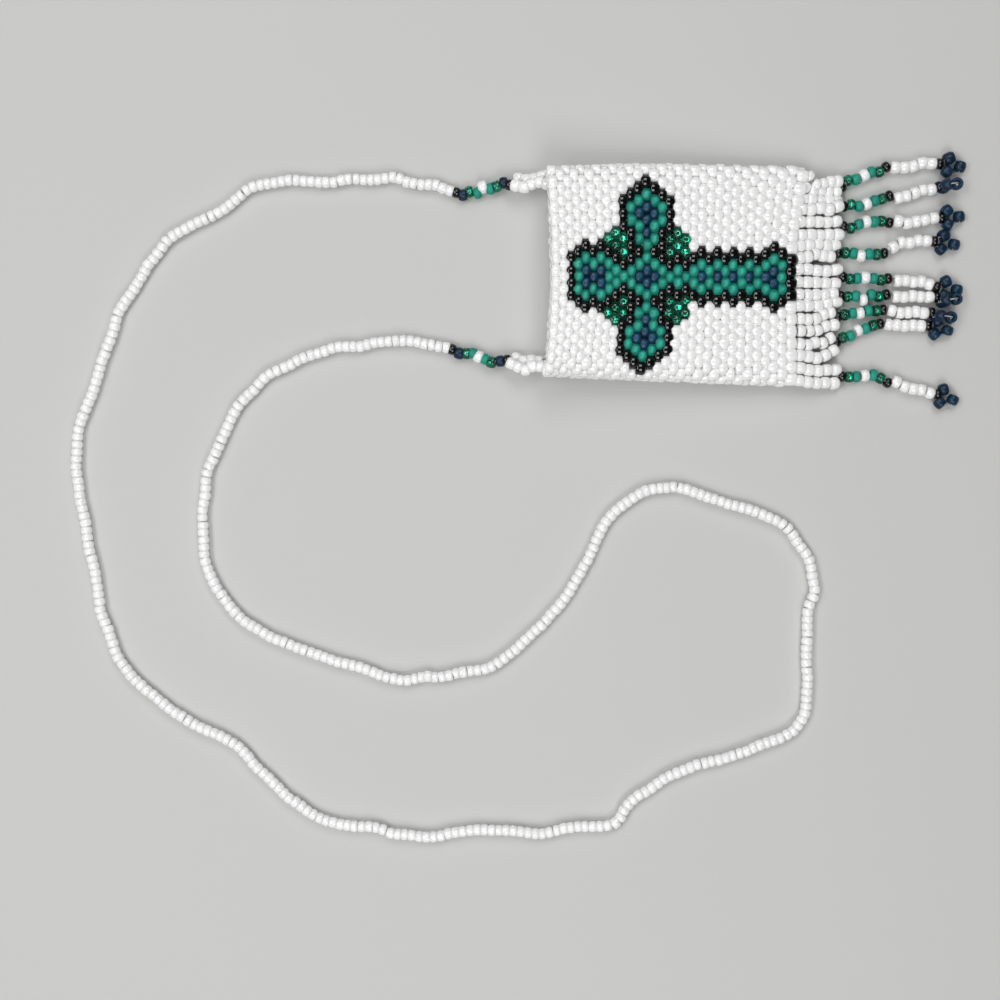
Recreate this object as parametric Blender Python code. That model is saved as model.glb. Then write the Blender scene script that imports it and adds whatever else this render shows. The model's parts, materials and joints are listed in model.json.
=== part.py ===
"""Beaded medicine pouch with a beaded neck strap, lying on its back.

The pouch is a flattened tube of woven glass beads. Its front and back panels meet in a seam down both
sides and across the closed end, and its mouth, at -X, gapes open. A stepped cross of coloured beads is
worked into the front. Nine fringe strands hang from the closed end, at +X: each is a hairpin of two
beaded legs, a coloured band, a white drop and a tip of three beads on a ring of thread. Two tabs at the
mouth's corners carry the coloured connectors and the strap, one long loop of strung beads.

The row of weave runs across the pouch, along Y, and the columns of beads run along X. The origin is on
the table, under the middle of the pouch and its fringe.
"""

import math

import bmesh
import bpy
from mathutils import Vector

MM = 0.001
CLEARANCE = 0.3 * MM

# The weave: one bead across a row, one bead along a column
ROW_STEP = 2.25 * MM
COLUMN_STEP = 1.458 * MM
HALF_ROW = ROW_STEP / 2
POUCH_COLUMNS = 31
MOUTH_COLUMNS = 2.5
LEAN_SHARE = 0.55

# The pouch. Each strand of its fringe is two rows wide, and the side rows bulge a little past the strands.
STRANDS = 9
EDGE_BULGE = 0.6 * MM
MOUTH_DRAW = 3.8 * MM
WALL = ROW_STEP
POUCH_LENGTH = POUCH_COLUMNS * COLUMN_STEP
MOUTH_X = -35.5 * MM
END_X = MOUTH_X + POUCH_LENGTH
END_WIDTH = 2 * STRANDS * ROW_STEP + 2 * EDGE_BULGE
MOUTH_WIDTH = END_WIDTH - MOUTH_DRAW
MOUTH_Y = 0.7 * MM
END_Y = 0.55 * MM
MOUTH_HEIGHT = 10.8 * MM
END_HEIGHT = 2 * WALL + CLEARANCE
MOUTH_CORNER = 3.4 * MM
END_FLAT = 0.2 * MM
END_CORNER = (END_HEIGHT - END_FLAT) / 2
OVERRUN = 3 * MM
TOP_SLOPE = math.atan2(MOUTH_HEIGHT - END_HEIGHT, POUCH_LENGTH)
SEAM_SLOPE = math.atan2((MOUTH_HEIGHT - END_HEIGHT) / 2, POUCH_LENGTH)

# The beads' relief: how deep the woven surface dips between beads, and how far the closed end rolls in
RELIEF = 0.6 * MM
END_ROLL = 0.9 * MM
ROWS_TO_BACK = 36
BEADED_ROWS = 18
BACK_ROWS = (20, 22, 24, 26, 28)
STRETCH_ROWS = (12, 24)

# The inlaid cross, whose middle row drifts a little across the pouch from the mouth to the closed end
CROSS_MOUTH_Y = -0.5 * MM
CROSS_END_Y = 0.15 * MM
INLAY_DEPTH = 0.9 * MM
RECESS_DEPTH = INLAY_DEPTH + CLEARANCE
RECESS_MARGIN = 0.1 * MM

# The bar's outermost bead in each column, in half rows from the middle. Column 10 is the arms' own.
BAR_REACH = (3, 4, 5, 4, 5, 4, 3, 2, 3, 4, 1, 4, 3, 2, 3, 2, 3, 4, 3, 4, 3, 4, 3, 4, 3, 4, 5, 4, 3)
ARM_SPANS = {7: (8, 12), 8: (5, 13), 9: (6, 14), 10: (1, 15), 11: (6, 14), 12: (5, 13), 13: (8, 12)}
LEAF_SPANS = {5: (6, 6), 6: (5, 7), 7: (4, 6), 13: (4, 6), 14: (5, 7), 15: (4, 6)}
KNOTS = ((9, 4), (11, 4), (9, -4), (11, -4))
GEMS = {
    "head_gem": ((2, 1), (2, -1), (3, 0), (4, 1), (4, -1)),
    "centre_gem": ((9, 0), (10, 1), (10, -1), (11, 0)),
    "upper_gem": ((9, 10), (10, 7), (10, 9), (10, 11), (11, 10)),
    "lower_gem": ((9, -10), (10, -7), (10, -9), (10, -11), (11, -10)),
    "shaft_gem_1": ((17, 0),),
    "shaft_gem_2": ((19, 0),),
    "shaft_gem_3": ((21, 0),),
    "shaft_gem_4": ((23, 0),),
    "foot_gem": ((25, 0), (26, 1), (26, -1)),
}

# Strung beads: the sides of a strand's tube, and a bead's profile along its own length
STRAND_BEVEL_COUNT = 1
WAIST_SHARE = 0.55
SHOULDER_SHARE = 0.2
THREAD_D = 0.4 * MM

# The fringe
LANE = 2 * ROW_STEP
LEG_BEAD_COUNT = 5
LEG_STEP = 1.7 * MM
LEG_D = 1.8 * MM
LEG_GAP = 0.25 * MM
BAND_BEAD_COUNT = 7
BAND_STEP = 1.4 * MM
BAND_D = 2.2 * MM
DROP_BEAD_COUNT = 5
DROP_STEP = 1.63 * MM
DROP_D = 2.3 * MM
KNEE_PLAY = 0.1 * MM
KNEE_GAP = CLEARANCE + KNEE_PLAY
TIP_BEAD_COUNT = 3
TIP_D = 2.1 * MM
TIP_LENGTH = 1.4 * MM
TIP_RING_RADIUS = 1.5 * MM
TIP_SHOULDER_SHARE = 0.6
FLOOR_GAP = 0.05 * MM
ROOT_DEPTH = 1.25 * MM
ROOT_Z = END_HEIGHT - ROOT_DEPTH
STRAND_Z = DROP_D / 2 + FLOOR_GAP
RAISED_TIPS = (2, 6, 7)

# The strands differ a little: the lengths of their legs and of their drops, in shares of the usual ones
LEG_SHARES = (1, 1.04, 1.03, 0.916, 1.01, 0.97, 0.916, 0.9, 1)
DROP_SHARES = (1.02, 0.935, 0.985, 0.95, 0.9, 0.935, 0.9, 0.917, 0.95)

# How far each strand sways from its lane, in lanes: at the legs' end, the knee, the drop's end and the tip
SWAY_SHARES = (
    (-0.06, 0.61, 0.74, 0.68),
    (0.02, 0.39, 0.77, 0.79),
    (0.10, 0.31, 0.50, 0.54),
    (0.03, 0.12, 0.50, 0.36),
    (0.11, -0.09, -0.18, 0.11),
    (0.19, 0.26, 0.21, 0.20),
    (0.27, 0.64, 0.58, 0.58),
    (0.17, 1.01, 0.99, 0.70),
    (-0.08, -0.37, -0.85, -0.96),
)

# The strap, its tabs and its connectors
TAB_BEAD_COUNT = 4
TAB_STEP = 1.68 * MM
TAB_D = 1.95 * MM
TAB_ROW_SIDE = 1.4 * MM
TAB_ROW_DROP = 1.9 * MM
TAB_DRAW = 0.75 * MM
STRAP_D = 2.15 * MM
STRAP_Z = STRAP_D / 2 + FLOOR_GAP
STRAP_POINT_COUNT = 80
STRAP_BEVEL_COUNT = 2
ROUTE_STEP_COUNT = 24
CONNECTOR_BEAD_COUNT = 9
CONNECTOR_D = 2.1 * MM
CONNECTOR_BOW = 0.7 * MM

# The strap's way over the table, from the upper connector round to the lower one
STRAP_ROUTE_MM = (
    (-54.9, 17.0), (-59.8, 17.7), (-66.2, 19.9), (-73.9, 19.5), (-88.9, 18.2),
    (-95.5, 13.9), (-110.1, 3.9), (-116.1, -4.5), (-121.0, -21.8), (-124.0, -31.8),
    (-124.2, -41.1), (-121.6, -51.8), (-115.4, -71.7), (-107.1, -79.6), (-94.5, -86.4),
    (-89.4, -92.6), (-78.9, -100.8), (-66.4, -103.3), (-37.2, -103.9), (-24.9, -102.0),
    (-18.5, -96.7), (5.0, -87.1), (12.1, -82.1), (13.4, -71.2), (13.6, -58.0),
    (7.8, -45.8), (-5.3, -40.0), (-14.7, -38.3), (-24.3, -44.5), (-30.7, -56.7),
    (-40.6, -68.9), (-53.2, -74.6), (-63.5, -75.5), (-78.6, -70.4), (-92.6, -63.7),
    (-100.0, -50.5), (-94.5, -25.7), (-76.7, -13.0), (-64.5, -11.1), (-54.9, -12.5),
)

# Colours
WHITE = (0.86, 0.87, 0.88)
BLACK = (0.012, 0.012, 0.014)
GREEN = (0.01, 0.27, 0.2)
EMERALD = (0.0, 0.3, 0.16)
NAVY = (0.01, 0.035, 0.1)


def clear_scene():
    for thing in list(bpy.data.objects):
        bpy.data.objects.remove(thing, do_unlink=True)


def new_collection(name):
    made = bpy.data.collections.new(name)
    bpy.context.scene.collection.children.link(made)
    return made


def bead_material(name, colour, roughness):
    made = bpy.data.materials.new(name)
    made.use_nodes = True
    shader = made.node_tree.nodes["Principled BSDF"]
    shader.inputs["Base Color"].default_value = (*colour, 1.0)
    shader.inputs["Roughness"].default_value = roughness
    shader.inputs["Metallic"].default_value = 0.0
    return made


def mesh_object(name, mesh, collection, material=None):
    made = bpy.data.objects.new(name, mesh)
    collection.objects.link(made)
    if material:
        mesh.materials.append(material)
    return made


def hide_cutter(thing):
    thing.hide_render = True
    thing.display_type = "WIRE"


def boolean(target, cutter, operation):
    modifier = target.modifiers.new(cutter.name, "BOOLEAN")
    modifier.operation = operation
    modifier.object = cutter
    modifier.solver = "EXACT"


# Where things lie on the weave

def column_x(column):
    """The place along X of a column, which may be a half. The middle columns lean towards the mouth."""
    share = (column + MOUTH_COLUMNS) / POUCH_COLUMNS
    lean = LEAN_SHARE * COLUMN_STEP * 4 * share * (1 - share)
    return MOUTH_X + share * POUCH_LENGTH - lean


def along(x, at_mouth, at_end):
    return at_mouth + (at_end - at_mouth) * (x - MOUTH_X) / POUCH_LENGTH


def pouch_height(x):
    return along(x, MOUTH_HEIGHT, END_HEIGHT)


# The pouch's shell

def smooth_step(low, high, value):
    share = min(max((value - low) / (high - low), 0), 1)
    return share * share * (3 - 2 * share)


def middle_row_y(x):
    return along(x, CROSS_MOUTH_Y, CROSS_END_Y)


def weave_point(x, row, inset):
    """The point of the tube's outside at x, or inset from it, row half rows round from the middle row."""
    width = along(x, MOUTH_WIDTH, END_WIDTH) - 2 * inset
    height = pouch_height(x) - 2 * inset
    corner = along(x, MOUTH_CORNER, END_CORNER) - inset
    quarter = corner * math.pi / 2
    wall = height - 2 * corner
    half_round = width + height - 4 * corner + 2 * quarter
    spare = half_round - ROWS_TO_BACK * HALF_ROW
    travel = abs(row) * HALF_ROW + spare * smooth_step(*STRETCH_ROWS, abs(row))
    side = 1 if row > 0 else -1
    middle_y = along(x, MOUTH_Y, END_Y)
    corner_y = middle_y + side * (width / 2 - corner)
    top = inset + height
    past_front = travel - abs(corner_y - middle_row_y(x))
    past_wall = past_front - quarter - wall
    if past_front <= 0:
        return Vector((x, middle_row_y(x) + side * travel, top))
    if past_front <= quarter:
        angle = past_front / corner
        return Vector((x, corner_y + side * corner * math.sin(angle), top - corner * (1 - math.cos(angle))))
    if past_wall <= 0:
        return Vector((x, corner_y + side * corner, top - corner - past_front + quarter))
    if past_wall <= quarter:
        angle = past_wall / corner
        return Vector((x, corner_y + side * corner * math.cos(angle), inset + corner * (1 - math.sin(angle))))
    return Vector((x, corner_y - side * (past_wall - quarter), inset))


def ring_rows():
    """The half rows that a ring of the tube has points at: each one over the front, and a few round the back."""
    half = [*range(BEADED_ROWS + 1), *BACK_ROWS]
    return [-row for row in reversed(half[1:])] + half


def woven_rings():
    """The tube's outside, column by column, high at each bead's middle and low between beads."""
    rows = ring_rows()
    rings = [[weave_point(MOUTH_X, row, RELIEF / 2) for row in rows]]
    for column in range(math.ceil(-MOUTH_COLUMNS), POUCH_COLUMNS - math.floor(MOUTH_COLUMNS)):
        ring = []
        for row in rows:
            low = abs(row) <= BEADED_ROWS and (row + column) % 2 == 0
            ring.append(weave_point(column_x(column), row, RELIEF if low else 0))
        rings.append(ring)
    rings.append([weave_point(END_X, row, END_ROLL) for row in rows])
    return rings


def hollow_rings():
    """The pouch's inside, open past the mouth and closed one wall short of the end."""
    rows = ring_rows()[::2]
    rings = []
    for x in (MOUTH_X - OVERRUN, END_X - WALL):
        rings.append([weave_point(x, row, WALL) for row in rows])
    return rings


def loft(name, rings, collection, material=None):
    """A closed skin over rings of equal counts of points, folded so that each high point is a small crown."""
    mesh = bpy.data.meshes.new(name)
    shape = bmesh.new()
    rows = [[shape.verts.new(point) for point in ring] for ring in rings]
    count = len(rings[0])
    for i, (row, after) in enumerate(zip(rows, rows[1:])):
        for j in range(count):
            k = (j + 1) % count
            if (i + j) % 2:
                shape.faces.new((row[j], row[k], after[j]))
                shape.faces.new((row[k], after[k], after[j]))
            else:
                shape.faces.new((row[j], row[k], after[k]))
                shape.faces.new((row[j], after[k], after[j]))
    shape.faces.new(rows[0])
    shape.faces.new(rows[-1])
    bmesh.ops.recalc_face_normals(shape, faces=shape.faces)
    shape.to_mesh(mesh)
    shape.free()
    return mesh_object(name, mesh, collection, material)


def seam_block(name, side, collection):
    """The half space above (side 1) or below (side -1) the seam, which slopes from mid mouth to mid end."""
    mesh = bpy.data.meshes.new(name)
    shape = bmesh.new()
    bmesh.ops.create_cube(shape, size=1)
    length = POUCH_LENGTH + 2 * OVERRUN
    width = END_WIDTH + 2 * OVERRUN
    bmesh.ops.scale(shape, vec=(length, width, MOUTH_HEIGHT), verts=shape.verts)
    bmesh.ops.translate(shape, vec=(0, 0, side * (MOUTH_HEIGHT + CLEARANCE) / 2), verts=shape.verts)
    shape.to_mesh(mesh)
    shape.free()
    block = mesh_object(name, mesh, collection)
    middle_x = (MOUTH_X + END_X) / 2
    block.location = (middle_x, (MOUTH_Y + END_Y) / 2, pouch_height(middle_x) / 2)
    block.rotation_euler = (0, SEAM_SLOPE, 0)
    hide_cutter(block)
    return block


def make_panels(parts, cutters, material):
    hollow = loft("pouch_hollow", hollow_rings(), cutters)
    hide_cutter(hollow)
    panels = []
    for name, side in (("front_panel", 1), ("back_panel", -1)):
        panel = loft(name, woven_rings(), parts, material)
        boolean(panel, seam_block(name + "_half", side, cutters), "INTERSECT")
        boolean(panel, hollow, "DIFFERENCE")
        panels.append(panel)
    return panels


# The cross, worked out bead by bead

def span_cells(spans):
    """Beads from low to high half row on both sides of the middle, at each column's own parity."""
    cells = set()
    for column, (low, high) in spans.items():
        for row in range(low, high + 1):
            if (row + column) % 2:
                cells |= {(column, row), (column, -row)}
    return cells


def cross_cells():
    """The beads of the cross in four sets: the black outline, the green field, the leaves and the gems."""
    bar = {column: (0, reach) for column, reach in enumerate(BAR_REACH)}
    body = span_cells(bar) | span_cells(ARM_SPANS)
    black = set(KNOTS)
    for column, row in body:
        beside = {(column + i, row + j) for i in (-1, 1) for j in (-1, 1)}
        beside |= {(column, row - 2), (column, row + 2)}
        if beside - body:
            black.add((column, row))
    gems = {cell for cells in GEMS.values() for cell in cells}
    return black, body - black - gems, span_cells(LEAF_SPANS), gems


def outlines(cells):
    """The closed outlines round a set of beads, in half columns and half rows, solid on the left."""
    sides = set()
    for column, row in cells:
        for low in (row - 1, row):
            corners = [(2 * column - 1, low), (2 * column + 1, low)]
            corners += [(2 * column + 1, low + 1), (2 * column - 1, low + 1)]
            for i in range(4):
                side = (corners[i], corners[(i + 1) % 4])
                if (side[1], side[0]) in sides:
                    sides.remove((side[1], side[0]))
                else:
                    sides.add(side)
    after = dict(sorted(sides))
    loops = []
    while after:
        start = min(after)
        loop = [start]
        point = after.pop(start)
        while point != start:
            loop.append(point)
            point = after.pop(point)
        loops.append(loop)
    return loops


def heading(start, end):
    return ((end[0] > start[0]) - (end[0] < start[0]), (end[1] > start[1]) - (end[1] < start[1]))


def drawn_in(loop, inset):
    """The outline's corners on the front's own plane, each moved by inset towards the solid side."""
    points = []
    for i, corner in enumerate(loop):
        before = heading(loop[i - 1], corner)
        behind = heading(corner, loop[(i + 1) % len(loop)])
        if before == behind:
            continue
        place_x = column_x(corner[0] / 2)
        x = (place_x - MOUTH_X) / math.cos(TOP_SLOPE)
        y = middle_row_y(place_x) + corner[1] * HALF_ROW
        x -= inset * (before[1] + behind[1])
        y += inset * (before[0] + behind[0])
        points.append((x, y))
    return points


def plate(name, cells, inset, depth, middle_z, parent, collection, material=None):
    """A flat plate over a set of beads: a 2D curve, filled between its outlines."""
    curve = bpy.data.curves.new(name, "CURVE")
    curve.dimensions = "2D"
    curve.fill_mode = "BOTH"
    curve.extrude = depth / 2
    for loop in outlines(cells):
        corners = drawn_in(loop, inset)
        spline = curve.splines.new("POLY")
        spline.points.add(len(corners) - 1)
        spline.use_cyclic_u = True
        for point, (x, y) in zip(spline.points, corners):
            point.co = (x, y, 0, 1)
    if material:
        curve.materials.append(material)
    made = bpy.data.objects.new(name, curve)
    collection.objects.link(made)
    made.parent = parent
    made.location = (0, 0, middle_z)
    return made


def meshed(source, collection):
    """A curve made a closed mesh in its own place, so that it can cut."""
    bpy.context.view_layer.update()
    graph = bpy.context.evaluated_depsgraph_get()
    mesh = bpy.data.meshes.new_from_object(source.evaluated_get(graph))
    shape = bmesh.new()
    shape.from_mesh(mesh)
    bmesh.ops.remove_doubles(shape, verts=shape.verts, dist=CLEARANCE / 100)
    bmesh.ops.recalc_face_normals(shape, faces=shape.faces)
    shape.to_mesh(mesh)
    shape.free()
    place = source.matrix_world.copy()
    name = source.name
    bpy.data.objects.remove(source, do_unlink=True)
    made = mesh_object(name, mesh, collection)
    made.matrix_world = place
    return made


def make_cross(front_panel, parts, cutters, colours):
    face = bpy.data.objects.new("front_face", None)
    parts.objects.link(face)
    face.location = (MOUTH_X, 0, MOUTH_HEIGHT)
    face.rotation_euler = (0, TOP_SLOPE, 0)
    black, green, leaves, gems = cross_cells()
    whole = black | green | leaves | gems
    cut_depth = RECESS_DEPTH + OVERRUN
    cut_middle = (OVERRUN - RECESS_DEPTH) / 2
    recess = plate("cross_recess", whole, -RECESS_MARGIN, cut_depth, cut_middle, face, cutters)
    recess = meshed(recess, cutters)
    hide_cutter(recess)
    boolean(front_panel, recess, "DIFFERENCE")

    def inlay(name, cells, colour):
        plate(name, cells, CLEARANCE / 2, INLAY_DEPTH, -INLAY_DEPTH / 2, face, parts, colours[colour])

    inlay("cross_outline", black, "black")
    inlay("cross_field", green, "green")
    for name, cells in GEMS.items():
        inlay("cross_" + name, cells, "navy")
    for number, (left, upper) in enumerate(((1, 1), (0, 1), (1, 0), (0, 0)), 1):
        middle_column = len(BAR_REACH) / 3
        quarter = {c for c in leaves if (c[0] < middle_column) == left and (c[1] > 0) == upper}
        inlay(f"cross_leaf_{number}", quarter, "emerald")


# Strung beads

def tube(name, stations, diameter, level, parts, material):
    """A curve with a round bevel through stations, each a point and its share of the radius."""
    curve = bpy.data.curves.new(name, "CURVE")
    curve.dimensions = "3D"
    curve.bevel_depth = diameter / 2
    curve.bevel_resolution = level
    curve.use_fill_caps = True
    spline = curve.splines.new("POLY")
    spline.points.add(len(stations) - 1)
    for point, (place, share) in zip(spline.points, stations):
        point.co = (*place, 1)
        point.radius = share
    curve.materials.append(material)
    made = bpy.data.objects.new(name, curve)
    parts.objects.link(made)
    return made


def beads_between(ends):
    """Stations for one bead between each two neighbouring points: narrow ends and two shoulders."""
    stations = [(ends[0], WAIST_SHARE)]
    for start, end in zip(ends, ends[1:]):
        stations.append((start.lerp(end, SHOULDER_SHARE), 1))
        stations.append((start.lerp(end, 1 - SHOULDER_SHARE), 1))
        stations.append((end, WAIST_SHARE))
    return stations


def straight(start, end, count):
    return [start.lerp(end, i / count) for i in range(count + 1)]


def set_origin(thing, place):
    """Moves a curve's origin to a point on its joint's axis and leaves its shape where it is."""
    for point in thing.data.splines[0].points:
        point.co = (*(point.co.to_3d() - place), 1)
    thing.location = place


def hairpin(first, second, turn_reach, diameter):
    """Two rows of beads joined by a turn of bare thread past their far ends."""
    thread_share = THREAD_D / diameter
    out = (first[-1] - first[0]).normalized() * turn_reach
    turn = [(first[-1] + out, thread_share), (second[-1] + out, thread_share)]
    return beads_between(first) + turn + list(reversed(beads_between(second)))


def lane_y(number):
    return END_Y + LANE * ((STRANDS + 1) / 2 - number)


def reach(start, y, z, length):
    """The point at this y and z that lies length away from start, towards +X."""
    across = Vector((0, y - start.y, z - start.z))
    return Vector((start.x + math.sqrt(length**2 - across.length**2), y, z))


def tip_stations(centre, raised):
    """Three beads on a ring of thread, flat on the table or raised on edge, its last bead towards +X."""
    stations = []
    thread_share = THREAD_D / TIP_D
    profile = (
        (-1, thread_share),
        (-TIP_SHOULDER_SHARE, 1),
        (TIP_SHOULDER_SHARE, 1),
        (1, thread_share),
    )
    for number in range(TIP_BEAD_COUNT):
        angle = number * 2 * math.pi / TIP_BEAD_COUNT
        outward = Vector((math.cos(angle), math.sin(angle), 0))
        forward = Vector((-math.sin(angle), math.cos(angle), 0))
        for share, radius in profile:
            place = outward * TIP_RING_RADIUS + forward * (share * TIP_LENGTH / 2)
            if raised:
                place = Vector((place.x, 0, place.y))
            stations.append((centre + place, radius))
    return stations


def make_strand(number, parts, colours):
    """One fringe strand: its legs, band, drop and tip, from the pouch's closed end outwards."""

    def beaded(piece, stations, diameter, colour, pivot):
        full_name = f"strand_{number}_{piece}"
        made = tube(full_name, stations, diameter, STRAND_BEVEL_COUNT, parts, colours[colour])
        set_origin(made, pivot)
        return made

    leg_sway, knee_sway, drop_sway, tip_sway = (LANE * share for share in SWAY_SHARES[number - 1])
    y = lane_y(number)
    root = Vector((END_X + CLEARANCE, y, ROOT_Z))
    root_axis = Vector((END_X + CLEARANCE / 2, y, ROOT_Z + LEG_D / 2))
    legs_length = LEG_BEAD_COUNT * LEG_STEP * LEG_SHARES[number - 1]
    legs_end = reach(root, y + leg_sway, STRAND_Z, legs_length)
    rows = []
    for side in (1, -1):
        start = root + Vector((0, side * HALF_ROW, 0))
        end = legs_end + Vector((0, side * (LEG_D + LEG_GAP) / 2, 0))
        rows.append(straight(start, end, LEG_BEAD_COUNT))
    beaded("legs", hairpin(*rows, THREAD_D / 2, LEG_D), LEG_D, "white", root_axis)

    band_start = legs_end + Vector((THREAD_D + CLEARANCE, 0, 0))
    band_end = reach(band_start, y + knee_sway, STRAND_Z, BAND_BEAD_COUNT * BAND_STEP)
    band_ends = straight(band_start, band_end, BAND_BEAD_COUNT)
    beaded("band", beads_between(band_ends), BAND_D, "emerald", root_axis)

    knee_axis = Vector((band_end.x + KNEE_GAP / 2, band_end.y, STRAND_Z + DROP_D / 2))
    drop_start = band_end + Vector((KNEE_GAP, 0, 0))
    whites_length = DROP_BEAD_COUNT * DROP_STEP * DROP_SHARES[number - 1]
    drop_end = reach(drop_start, y + drop_sway, STRAND_Z, whites_length + BAND_STEP)
    black_start = drop_start.lerp(drop_end, whites_length / (drop_end - drop_start).length)
    drop_ends = straight(drop_start, black_start, DROP_BEAD_COUNT) + [drop_end]
    beaded("drop", beads_between(drop_ends), DROP_D, "white", knee_axis)

    # The thread between the ring's first two beads crosses just past the drop's end
    far_corner = math.hypot(TIP_RING_RADIUS, TIP_LENGTH / 2)
    half_third = math.pi / TIP_BEAD_COUNT
    half_gap = half_third - math.atan2(TIP_LENGTH / 2, TIP_RING_RADIUS)
    ring_reach = far_corner * math.cos(half_gap) + THREAD_D / 2 + CLEARANCE
    raised = number in RAISED_TIPS
    lowest = TIP_RING_RADIUS * math.sin(half_third) + (TIP_D + TIP_LENGTH / 2) / 2
    height = FLOOR_GAP + (lowest if raised else TIP_D / 2)
    centre = Vector((drop_end.x + ring_reach, y + tip_sway, height))
    tip = beaded("tip", tip_stations(centre, raised), TIP_D, "navy", knee_axis)
    tip.data.splines[0].use_cyclic_u = True


# The strap

def make_tab(name, side, parts, material):
    """A strip two beads wide, sewn to the mouth's corner. Returns the place just past its thread turn."""
    rows = []
    reach_x = TAB_BEAD_COUNT * TAB_STEP
    wall_y = MOUTH_Y + side * (MOUTH_WIDTH - WALL) / 2
    top = STRAP_Z + 2 * TAB_ROW_DROP
    for row in (0, 1):
        y = wall_y - side * row * TAB_ROW_SIDE
        start = Vector((MOUTH_X - CLEARANCE, y, top - row * TAB_ROW_DROP))
        end = start + Vector((-reach_x, -side * TAB_DRAW, -TAB_ROW_DROP))
        rows.append(straight(start, end, TAB_BEAD_COUNT))
    tube(name, hairpin(*rows, THREAD_D / 2, TAB_D), TAB_D, STRAND_BEVEL_COUNT, parts, material)
    turn = (rows[0][-1] + rows[1][-1]) / 2
    return turn + Vector((-THREAD_D - CLEARANCE, 0, 0))


def make_connector(name, start, end, bow, parts, material):
    """Nine coloured beads in a slight bow from the tab down to the strap."""
    ends = []
    for i in range(CONNECTOR_BEAD_COUNT + 1):
        share = i / CONNECTOR_BEAD_COUNT
        place = start.lerp(end, share)
        place.y += bow * 4 * share * (1 - share)
        place.z = end.z + (start.z - end.z) * (1 - share) ** 2
        ends.append(place)
    tube(name, beads_between(ends), CONNECTOR_D, STRAND_BEVEL_COUNT, parts, material)


def smooth_route(points, count):
    """Evenly spaced points on one smooth curve through the route's own points."""
    padded = [2 * points[0] - points[1], *points, 2 * points[-1] - points[-2]]
    fine = []
    for a, b, c, d in zip(padded, padded[1:], padded[2:], padded[3:]):
        for step in range(ROUTE_STEP_COUNT):
            t = step / ROUTE_STEP_COUNT
            bend = 2 * a - 5 * b + 4 * c - d
            twist = 3 * b - a - 3 * c + d
            fine.append((2 * b + (c - a) * t + bend * t**2 + twist * t**3) / 2)
    fine.append(points[-1])
    lengths = [0.0]
    for a, b in zip(fine, fine[1:]):
        lengths.append(lengths[-1] + (b - a).length)
    even = []
    i = 0
    for k in range(count):
        wanted = lengths[-1] * k / (count - 1)
        while i < len(fine) - 2 and lengths[i + 1] < wanted:
            i += 1
        share = (wanted - lengths[i]) / (lengths[i + 1] - lengths[i])
        even.append(fine[i].lerp(fine[i + 1], share))
    return even, lengths[-1]


def make_strap(parts, colours):
    route = [Vector((x * MM, y * MM, STRAP_Z)) for x, y in STRAP_ROUTE_MM]
    points, length = smooth_route(route, STRAP_POINT_COUNT)
    tube("strap", [(point, 1) for point in points], STRAP_D, STRAP_BEVEL_COUNT, parts, colours["white"])
    print(f"strap length {length / MM:.1f} mm")
    ends = ((1, "upper", points[0], points[1]), (-1, "lower", points[-1], points[-2]))
    for side, name, last, inner in ends:
        start = make_tab(f"strap_tab_{name}", side, parts, colours["white"])
        end = last + (last - inner).normalized() * CLEARANCE
        make_connector(f"connector_{name}", start, end, -side * CONNECTOR_BOW, parts, colours["green"])


def main():
    clear_scene()
    parts = new_collection("beaded_medicine_pouch")
    cutters = new_collection("cutters")
    colours = {
        "white": bead_material("white_beads", WHITE, 0.22),
        "black": bead_material("black_beads", BLACK, 0.12),
        "green": bead_material("green_beads", GREEN, 0.4),
        "emerald": bead_material("emerald_beads", EMERALD, 0.1),
        "navy": bead_material("navy_beads", NAVY, 0.35),
    }
    front_panel, _ = make_panels(parts, cutters, colours["white"])
    make_cross(front_panel, parts, cutters, colours)
    for number in range(1, STRANDS + 1):
        make_strand(number, parts, colours)
    make_strap(parts, colours)


main()
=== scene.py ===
"""The looks of the beaded medicine pouch: every glass bead and thread, the table and the light.

Each CAD node is replaced by one piece made of single beads. The woven tube, the cross in its front, the
nine fringe strands, the two tabs, the two connectors and the long strap of strung beads all lie where the
CAD solids lie, in metres.
"""

import json
import math
import random

import bpy
import numpy as np
from mathutils import Matrix, Vector
from mathutils.bvhtree import BVHTree

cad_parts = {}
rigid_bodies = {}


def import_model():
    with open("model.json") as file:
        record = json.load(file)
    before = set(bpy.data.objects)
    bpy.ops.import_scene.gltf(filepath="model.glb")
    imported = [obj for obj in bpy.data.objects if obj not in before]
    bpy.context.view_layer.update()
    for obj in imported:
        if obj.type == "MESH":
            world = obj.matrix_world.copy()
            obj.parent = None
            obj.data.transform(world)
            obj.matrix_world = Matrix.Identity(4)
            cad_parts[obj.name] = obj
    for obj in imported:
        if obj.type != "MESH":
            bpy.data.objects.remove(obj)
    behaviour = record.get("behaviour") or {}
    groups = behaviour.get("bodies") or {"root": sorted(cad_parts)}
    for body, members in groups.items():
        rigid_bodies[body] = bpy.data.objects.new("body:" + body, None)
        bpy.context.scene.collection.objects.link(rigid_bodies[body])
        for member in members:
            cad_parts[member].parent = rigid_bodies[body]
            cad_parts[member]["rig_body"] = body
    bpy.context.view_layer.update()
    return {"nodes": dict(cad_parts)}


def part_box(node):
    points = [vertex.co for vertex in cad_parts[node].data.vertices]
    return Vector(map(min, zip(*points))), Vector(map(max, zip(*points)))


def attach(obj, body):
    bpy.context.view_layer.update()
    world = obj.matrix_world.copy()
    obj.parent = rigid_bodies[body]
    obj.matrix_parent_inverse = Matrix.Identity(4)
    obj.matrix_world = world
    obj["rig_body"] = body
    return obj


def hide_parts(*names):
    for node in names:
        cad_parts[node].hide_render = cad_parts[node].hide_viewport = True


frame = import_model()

MM = 0.001

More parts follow.
